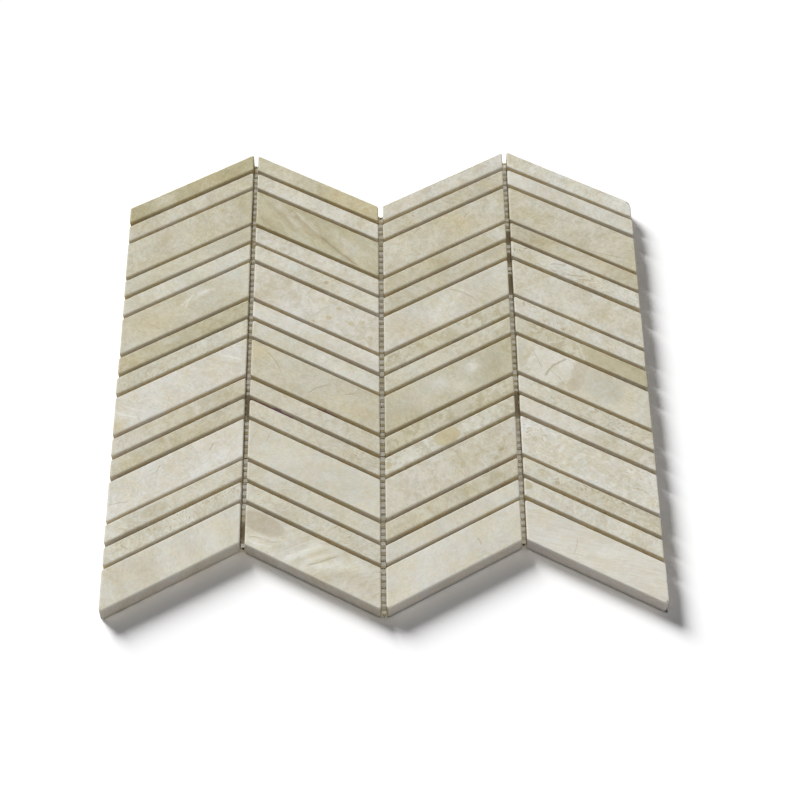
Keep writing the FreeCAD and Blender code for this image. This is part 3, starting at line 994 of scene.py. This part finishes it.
def finish_stone(name, plan, settings, materials, node):
    """Make one stone, mark it as its own cut of the slab and set it in the frame."""
    hand = random.Random(f"{name} {settings.seed}")
    radii = [settings.corner * hand.uniform(*CORNER_RANGE) for _ in range(4)]
    for corner, radius in KNOCKED_CORNERS.get(name, {}).items():
        radii[corner] = radius * MM
    chips = edge_chips(plan, settings.chips, hand)
    left = hand.uniform(0, END_TRIM) * MM if "c1_" in name else 0
    right = hand.uniform(0, END_TRIM) * MM if "c4_" in name else 0
    plan = plan.trimmed(left, right)
    mesh, points, wear = stone(f"marble_{name}", plan, settings, hand, radii, chips)
    middle = np.array([*plan.middle, plan.base])
    bedding = math.radians(BEDDING.get(name, hand.uniform(0, 360)))
    slab = (points - middle) / MM @ np.array(Matrix.Rotation(bedding - math.pi / 2, 3, "Z"))
    slab = slab + np.array([hand.uniform(-SLAB_REACH, SLAB_REACH) for _ in range(3)])
    share = TONES[word_for(STONE_TONES, name, "cream")] + hand.uniform(-TONE_SWING, TONE_SWING)
    colour = np.array(settings.sand) * (1 - share) + np.array(settings.ivory) * share
    colour = colour * (1 + np.array([hand.uniform(-HUE_SWING, HUE_SWING) for _ in range(3)]))
    tones = clouds(name, plan, points, colour)
    patch, patch_tone = spots(name, plan, points)
    add_attribute(mesh, "slab", "FLOAT_VECTOR", slab)
    add_attribute(mesh, "tone", "FLOAT_COLOR", np.c_[tones, np.ones(len(points))])
    add_attribute(mesh, "wear", "FLOAT", wear)
    add_attribute(mesh, "joint", "FLOAT", facing_joint(plan, points))
    add_attribute(mesh, "patch", "FLOAT", patch)
    add_attribute(mesh, "patch_tone", "FLOAT_COLOR", patch_tone)
    for kind, table in (("crack", STONE_CRACKS), ("thread", STONE_THREADS)):
        off, end = fine_lines(plan, points, table.get(name, ()))
        add_attribute(mesh, f"{kind}_off", "FLOAT_VECTOR", off)
        add_attribute(mesh, f"{kind}_end", "FLOAT_VECTOR", end)
    mesh.materials.append(materials[word_for(STONE_MARKINGS, name, "clouded")])
    set_piece(f"marble_{name}", mesh, node)


def marbles():
    """Return the marble materials by marking, made the first time they are needed."""
    found = {}
    for marking in MARKINGS:
        found[marking] = bpy.data.materials.get(f"marble_{marking}") or marble(marking)
    return found


class MOSAIC_OT_wide_tiles(bpy.types.Operator):
    """Make the wide marble tiles"""
    bl_idname = "mosaic.wide_tiles"
    bl_label = "Wide tiles"

    def execute(self, context):
        settings = context.scene.mosaic_stone
        materials = marbles()
        for node in sorted(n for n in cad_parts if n.startswith("wide_tile_")):
            name = node.replace("wide_tile_", "wide_")
            finish_stone(name, plans(node)[0], settings, materials, node)
        return {"FINISHED"}


class MOSAIC_OT_narrow_strips(bpy.types.Operator):
    """Make the narrow marble strips, two to a node"""
    bl_idname = "mosaic.narrow_strips"
    bl_label = "Narrow strips"

    def execute(self, context):
        settings = context.scene.mosaic_stone
        materials = marbles()
        for node in sorted(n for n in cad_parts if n.startswith("narrow_pair_")):
            name = node.replace("narrow_pair_", "narrow_")
            for which, plan in zip(("upper", "lower"), plans(node)):
                finish_stone(f"{name}_{which}", plan, settings, materials, node)
        return {"FINISHED"}


# Net


# How fine the marks on the net and its glue are, in features to a metre
SOAK_FINENESS, FIBRE_FINENESS = 70, 2600
DUST_FINENESS, GREY_FINENESS = 420, 34


def glass_thread(settings):
    """Return the coated glass thread, with glue soaked in here and there."""
    material = bpy.data.materials.new("glass_thread")
    finish = Finish(material)
    place = finish.node("ShaderNodeTexCoord", {}, {}, "Object")
    soaked = finish.step(finish.noise(place, SOAK_FINENESS, 4), 0.46, 0.64)
    fibre = finish.noise(place, FIBRE_FINENESS, 2)
    glass = finish.mix(fibre * 0.35, tint(*settings.glass), tint(*(0.8 * c for c in settings.glass)))
    colour = finish.mix(soaked * 0.8, glass, tint(*settings.glue))
    rough = 0.62 - soaked * 0.25 + fibre * 0.15
    finish.surface(finish.principled(colour, rough, finish.bump(fibre, 0.4, 0.05 * MM)))
    return material


def sweep(rows):
    """Return the points and faces of a run through rows of points, clockwise as seen from its start."""
    count = len(rows[0])
    step = np.arange(count - 1)
    faces = []
    for side in range(len(rows)):
        near, far = side * count + step, (side + 1) % len(rows) * count + step
        faces.extend(np.c_[far, far + 1, near + 1, near].tolist())
    rim = [side * count for side in range(len(rows))]
    faces.extend([rim[::-1], [index + count - 1 for index in rim]])
    return np.concatenate(rows), faces


def joined(name, runs):
    """Return one mesh of many runs."""
    points, faces, start = [], [], 0
    for run_points, run_faces in runs:
        points.append(run_points)
        faces.extend([index + start for index in face] for face in run_faces)
        start += len(run_points)
    mesh = bpy.data.meshes.new(name)
    mesh.from_pydata(np.concatenate(points).tolist(), [], faces)
    mesh.shade_smooth()
    return mesh


# Sections of the threads, as shares of half their width and half their thickness
WEFT_SECTION = ((1, 0), (0.55, 1), (-0.55, 1), (-1, 0), (-0.55, -1), (0.55, -1))
WARP_SECTION = ((1, 0), (0, 1), (-1, 0), (0, -1))


def thread(centres, section, width, thickness, sideways):
    """Return one flat thread along a line of points."""
    up = np.array([0.0, 0.0, 1.0])
    rows = []
    for across, rise in section:
        rows.append(centres + sideways * across * width / 2 + up * rise * thickness / 2)
    return sweep(rows)


def spans(outline, axis, value):
    """Return the stretches of a line across an outline, where one coordinate has a value."""
    other = 1 - axis
    hits = []
    for a, b in zip(outline, np.roll(outline, -1, axis=0)):
        if (a[axis] - value) * (b[axis] - value) < 0:
            share = (value - a[axis]) / (b[axis] - a[axis])
            hits.append(a[other] + share * (b[other] - a[other]))
    hits.sort()
    return list(zip(hits[::2], hits[1::2]))


def net_outline(node):
    """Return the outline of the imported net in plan, in order round its zigzag."""
    foot = foot_points(node)
    lines = np.unique(np.round(foot[:, 0], 6))
    columns = [foot[np.abs(foot[:, 0] - x) < 2e-6] for x in lines]
    lower = [c[np.argmin(c[:, 1])] for c in columns]
    upper = [c[np.argmax(c[:, 1])] for c in columns]
    return np.array(lower + upper[::-1])


def joint_lines(outline):
    """Return the X of each upright joint, where the net's zigzag turns."""
    return outline[1:len(outline) // 2 - 1, 0]


# How deep the glue stands in each upright joint, over its top third and below that, and where it has gone
# dark, as shares of the joint from its top
GLUE_DEPTHS = ((0.3, 0.35), (0.35, 0.3), (0.3, 0.6))
DARK_GLUE = (
    ((0.62, 0.70), (0.94, 0.99)), (), ((0.19, 0.24), (0.253, 0.294), (0.309, 0.38), (0.62, 0.70)))
# The run's section, as shares of its half width and its crown, its points along the joint, its levels over
# the net's foot at its keel and its edges, and its crown in millimetres: the least, and what depth adds
GLUE_SECTION = ((-1, 0), (-0.5, 0.9), (0, 1), (0.5, 0.9), (1, 0))
GLUE_POINTS = 240
GLUE_HALF_WIDTH = 2.0 * MM
GLUE_KEEL = 0.02 * MM
GLUE_EDGE = 0.06 * MM
LEAST_CROWN, DEEP_CROWN = 0.04, 0.34
MOST_FLOOD = 0.6
# The glue under the rim: how far it stands out at its brow and foot, its levels, and its spacing of points
RIM_BROW, RIM_FOOT = 1.2 * MM, 1.1 * MM
RIM_TOP, RIM_BASE = 0.46 * MM, 0.04 * MM
RIM_STEP = 1.2 * MM
# How much the runs' width, flood and bulge vary, each with its features to a metre
WIDTH_SWING, WIDTH_FINENESS = 0.25, 130
FLOOD_SWING, FLOOD_FINENESS = 0.8, 90
RIM_SWING, RIM_FINENESS = 0.2, 160
# A step to the side of a joint's line, off the corners of the outline
NUDGE = 0.01 * MM


def joint_glue(outline, base, number, x):
    """Return the run of glue in one upright joint, and how dark each of its points is."""
    low, high = spans(outline, 0, x + NUDGE)[0]
    y = np.linspace(low + MM, high - MM, GLUE_POINTS)
    line = np.c_[np.full(len(y), x), y, np.zeros(len(y))]
    half_width = GLUE_HALF_WIDTH * (1 + WIDTH_SWING * ripple(line, WIDTH_FINENESS, number + 20))
    upper, lower = GLUE_DEPTHS[number]
    flood = np.where(y > high - (high - low) / 3, upper, lower)
    flood = flood + FLOOD_SWING * ripple(line, FLOOD_FINENESS, number + 30)
    depth = (high - y) / (high - low)
    dark = np.zeros(len(y))
    for start, end in DARK_GLUE[number]:
        dark = dark + np.exp(-((depth - (start + end) / 2) / (end - start) * 2) ** 4)
    crown = (LEAST_CROWN + DEEP_CROWN * np.clip(flood, dark, np.maximum(dark, MOST_FLOOD))) * MM
    rows = []
    for across, rise in GLUE_SECTION:
        rows.append(np.c_[x + across * half_width, y, base + GLUE_EDGE + rise * crown])
    rows.append(np.c_[np.full(len(y), x), y, np.full(len(y), base + GLUE_KEEL)])
    return sweep(rows), np.tile(dark, len(rows))


def rim_glue(start, end, base):
    """Return the run of glue under one side of the sheet's rim, and how dark each of its points is."""
    along = unit(end - start)
    out = np.array([along[1], -along[0]])
    share = np.linspace(0.0, 1.0, round(np.linalg.norm(end - start) / RIM_STEP))
    line = start + share[:, None] * (end - start)
    bulge = 1 + RIM_SWING * ripple(np.c_[line, np.zeros(len(line))], RIM_FINENESS, 41)
    brow = line + out * (RIM_BROW * bulge)[:, None]
    foot = line + out * (RIM_FOOT * bulge)[:, None]
    levels = ((line, RIM_TOP), (brow, RIM_TOP), (foot, RIM_BASE), (line, RIM_BASE))
    rows = [np.c_[flat, np.full(len(flat), base + rise)] for flat, rise in levels]
    return sweep(rows), np.zeros(len(rows) * len(line))


def glue(outline, base):
    """Return the runs of glue in the upright joints and under the sheet's rim, each with its darkness."""
    runs = [joint_glue(outline, base, number, x) for number, x in enumerate(joint_lines(outline))]
    for start, end in zip(outline, np.roll(outline, -1, axis=0)):
        runs.append(rim_glue(start, end, base))
    return runs


GLUE_GREY = tint(0.44, 0.41, 0.34)
GLUE_BROWN = tint(0.15, 0.105, 0.05)


def set_glue(settings):
    """Return the set glue: olive brown, a little glossy."""
    material = bpy.data.materials.new("set_glue")
    finish = Finish(material)
    place = finish.node("ShaderNodeTexCoord", {}, {}, "Object")
    dust = finish.noise(place, DUST_FINENESS, 4)
    dull, bright = (tint(*(level * c for c in settings.glue)) for level in (0.72, 1.12))
    colour = finish.mix(dust, dull, bright)
    greyed = finish.step(finish.noise(place, GREY_FINENESS, 2), 0.40, 0.60)
    colour = finish.mix(greyed * 0.8, colour, GLUE_GREY)
    colour = finish.mix(finish.attribute("dark", "Fac") * 0.85, colour, GLUE_BROWN)
    finish.surface(finish.principled(colour, 0.45 + dust * 0.3, finish.bump(dust, 0.5, 0.1 * MM)))
    return material


class MOSAIC_OT_glue(bpy.types.Operator):
    """Run the glue that shows in the upright joints and under the sheet's rim"""
    bl_idname = "mosaic.glue"
    bl_label = "Glue"

    def execute(self, context):
        runs = glue(net_outline("backing_net"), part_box("backing_net")[0].z)
        mesh = joined("joint_glue", [run for run, _ in runs])
        add_attribute(mesh, "dark", "FLOAT", np.concatenate([dark for _, dark in runs]))
        mesh.materials.append(set_glue(context.scene.mosaic_net))
        set_piece("joint_glue", mesh)
        return {"FINISHED"}


# Thickness of the threads as shares of the net's
WEFT_SHARE, WARP_SHARE = 0.28, 0.36
# How far a weft thread lies off its line in millimetres, how far it sways, and its range of widths in shares
WEFT_SLIP = 0.3
WEFT_SWAY, WEFT_FINENESS = 0.12 * MM, 40
WEFT_RANGE = (0.75, 1.25)
WEFT_SEED = 3
# How far a warp thread swings out, in widths, and the share of its rise that it keeps between weft threads
WARP_SWING = 0.45
WARP_REST = 0.55
NORTH = np.array([0.0, 1.0, 0.0])
WEST = np.array([-1.0, 0.0, 0.0])


def weft_threads(outline, low, high, settings):
    """Return the flat threads across the sheet."""
    hand = random.Random(WEFT_SEED)
    middle = (low.z + high.z) / 2
    thickness = WEFT_SHARE * (high.z - low.z)
    threads = []
    row = math.ceil(low.y / settings.mesh)
    while row * settings.mesh < high.y:
        y = row * settings.mesh + hand.uniform(-WEFT_SLIP, WEFT_SLIP) * MM
        for start, end in spans(outline, 1, y):
            x = np.linspace(start, end, max(2, round((end - start) / (2 * settings.mesh))))
            line = np.full(len(x), y)
            sway = WEFT_SWAY * ripple(np.c_[x, line, np.zeros(len(x))], WEFT_FINENESS, 2)
            centres = np.c_[x, line + sway, np.full(len(x), middle)]
            width = settings.weft_width * hand.uniform(*WEFT_RANGE)
            threads.append(thread(centres, WEFT_SECTION, width, thickness, NORTH))
        row += 1
    return threads


def warp_threads(outline, low, high, settings):
    """Return the twisted pairs of threads along the sheet, with the upright joints midway between pairs."""
    middle = (low.z + high.z) / 2
    thickness = WARP_SHARE * (high.z - low.z)
    most_rise = (high.z - low.z - thickness) / 2
    joint = joint_lines(outline)
    pitch = (joint[1] - joint[0]) / round((joint[1] - joint[0]) / settings.mesh)
    half = settings.mesh / 2
    threads = []
    for x in joint[1] + (np.arange(low.x // pitch, high.x // pitch) + 0.5) * pitch:
        for start, end in spans(outline, 0, x):
            y = np.concatenate([[start], np.arange(math.ceil(start / half) * half, end, half), [end]])
            twist = np.cos(math.pi * y / settings.mesh)
            for side in (1, -1):
                swing = side * WARP_SWING * settings.warp_width * twist
                level = middle + side * most_rise * (WARP_REST + (1 - WARP_REST) * np.abs(twist))
                centres = np.c_[x + swing, y, level]
                threads.append(thread(centres, WARP_SECTION, settings.warp_width, thickness, WEST))
    return threads


class MOSAIC_OT_glass_net(bpy.types.Operator):
    """Weave the glass net: flat weft threads held by twisted pairs of warp threads"""
    bl_idname = "mosaic.glass_net"
    bl_label = "Glass net"

    def execute(self, context):
        settings = context.scene.mosaic_net
        node = "backing_net"
        low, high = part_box(node)
        outline = net_outline(node)
        threads = weft_threads(outline, low, high, settings) + warp_threads(outline, low, high, settings)
        mesh = joined("glass_net", threads)
        mesh.materials.append(glass_thread(settings))
        piece = set_piece("glass_net", mesh, node)
        return {"FINISHED"}


# Stage


# How far the floor reaches each way, how far it lies under the sheet, and how bright it shows where lit
FLOOR_REACH = 6.0
FLOOR_DROP = 0.1 * MM
FLOOR_SHOWN = 1.03
SENSOR_WIDTH = 36.0
FAR_CLIP = 50.0


class MOSAIC_OT_stage(bpy.types.Operator):
    """Set the floor, the light and the camera"""
    bl_idname = "mosaic.stage"
    bl_label = "Stage"

    def execute(self, context):
        settings = context.scene.mosaic_stage
        self.floor(context, settings)
        self.light(context, settings)
        self.camera(context, settings)
        context.scene.view_settings.view_transform = "Standard"
        return {"FINISHED"}

    def seen(self, finish):
        """Return 1 for rays that show the background as it is."""
        ways = ("Is Camera Ray", "Is Glossy Ray", "Is Transmission Ray")
        camera, glossy, through = (finish.node("ShaderNodeLightPath", {}, {}, way) for way in ways)
        return camera.math("MAXIMUM", camera, glossy.math("MAXIMUM", glossy, through))

    def floor(self, context, settings):
        """Lay a white floor under the sheet."""
        corners = ((-FLOOR_REACH, -FLOOR_REACH), (FLOOR_REACH, -FLOOR_REACH),
                   (FLOOR_REACH, FLOOR_REACH), (-FLOOR_REACH, FLOOR_REACH))
        mesh = bpy.data.meshes.new("floor")
        mesh.from_pydata([(x, y, -FLOOR_DROP) for x, y in corners], [], [(0, 1, 2, 3)])
        material = bpy.data.materials.new("floor_white")
        finish = Finish(material)
        shown = FLOOR_SHOWN / (settings.key + settings.fill)
        colour = finish.mix(self.seen(finish), tint(*settings.floor), tint(shown, shown, shown))
        finish.surface(finish.node("ShaderNodeBsdfDiffuse", {}, {"Color": colour}))
        mesh.materials.append(material)
        floor = bpy.data.objects.new("floor", mesh)
        context.scene.collection.objects.link(floor)

    def lamp(self, context, name, level, turn, height, spread):
        """Add a lamp far off that throws a level of light on flat ground."""
        lamp = bpy.data.lights.new(name, "SUN")
        lamp.energy = math.pi * level / math.sin(height)
        lamp.angle = spread
        light = bpy.data.objects.new(name, lamp)
        reach = math.cos(height)
        towards = Vector((reach * math.cos(turn), reach * math.sin(turn), math.sin(height)))
        light.rotation_euler = towards.to_track_quat("Z", "Y").to_euler()
        context.scene.collection.objects.link(light)
        return light

    def light(self, context, settings):
        """Set the key light, the two lights that fall on the sheet alone, and the light from all round."""
        self.lamp(context, "key", settings.key, settings.key_turn, settings.key_height, settings.key_spread)
        overhead = self.lamp(context, "overhead", settings.overhead, -math.pi / 2, settings.overhead_height,
                             settings.overhead_spread)
        cross = self.lamp(context, "cross", settings.cross, settings.cross_turn, settings.cross_height,
                          settings.key_spread)
        for lamp in (overhead, cross):
            lamp.light_linking.receiver_collection = sheet_pieces()
        world = bpy.data.worlds.new("studio")
        context.scene.world = world
        finish = Finish(world)
        level = finish.mix(self.seen(finish), tint(*[settings.fill] * 3), tint(1, 1, 1))
        glow = finish.node("ShaderNodeBackground", {}, {"Color": level, "Strength": 1.0})
        finish.node("ShaderNodeOutputWorld", {}, {"Surface": glow})

    def camera(self, context, settings):
        """Set the camera where the photo was taken from."""
        lens = bpy.data.cameras.new("camera")
        lens.lens = settings.lens
        lens.sensor_width = SENSOR_WIDTH
        lens.clip_end = FAR_CLIP
        camera = bpy.data.objects.new("camera", lens)
        eye = Vector(settings.eye)
        ahead = Vector(settings.target) - eye
        level = ahead.to_track_quat("-Z", "Y")
        camera.location = eye
        camera.rotation_euler = (Quaternion(ahead, settings.roll) @ level).to_euler()
        context.scene.collection.objects.link(camera)
        context.scene.camera = camera


class MOSAIC_PT_panel(bpy.types.Panel):
    """Settings and steps of the mosaic sheet"""
    bl_label = "Chevron mosaic sheet"
    bl_idname = "MOSAIC_PT_panel"
    bl_space_type = "VIEW_3D"
    bl_region_type = "UI"
    bl_category = "Mosaic"

    def draw(self, context):
        layout = self.layout
        for group, steps in PANEL_ROWS:
            settings = getattr(context.scene, group)
            box = layout.box()
            for name in settings.__annotations__:
                box.prop(settings, name)
            for step in steps:
                box.operator(step)


PANEL_ROWS = (
    ("mosaic_stone", ("mosaic.wide_tiles", "mosaic.narrow_strips")),
    ("mosaic_net", ("mosaic.glass_net", "mosaic.glue")),
    ("mosaic_stage", ("mosaic.stage",)),
)
SETTINGS = {"mosaic_stone": StoneSettings, "mosaic_net": NetSettings, "mosaic_stage": StageSettings}
CLASSES = (
    StoneSettings, NetSettings, StageSettings, MOSAIC_OT_wide_tiles, MOSAIC_OT_narrow_strips,
    MOSAIC_OT_glass_net, MOSAIC_OT_glue, MOSAIC_OT_stage, MOSAIC_PT_panel)


def register():
    for kind in CLASSES:
        bpy.utils.register_class(kind)
    for name, kind in SETTINGS.items():
        setattr(bpy.types.Scene, name, PointerProperty(type=kind))


def unregister():
    for name in SETTINGS:
        delattr(bpy.types.Scene, name)
    for kind in reversed(CLASSES):
        bpy.utils.unregister_class(kind)


def main():
    register()
    bpy.ops.mosaic.wide_tiles()
    bpy.ops.mosaic.narrow_strips()
    bpy.ops.mosaic.glass_net()
    bpy.ops.mosaic.glue()
    bpy.ops.mosaic.stage()


if __name__ == "__main__":
    main()
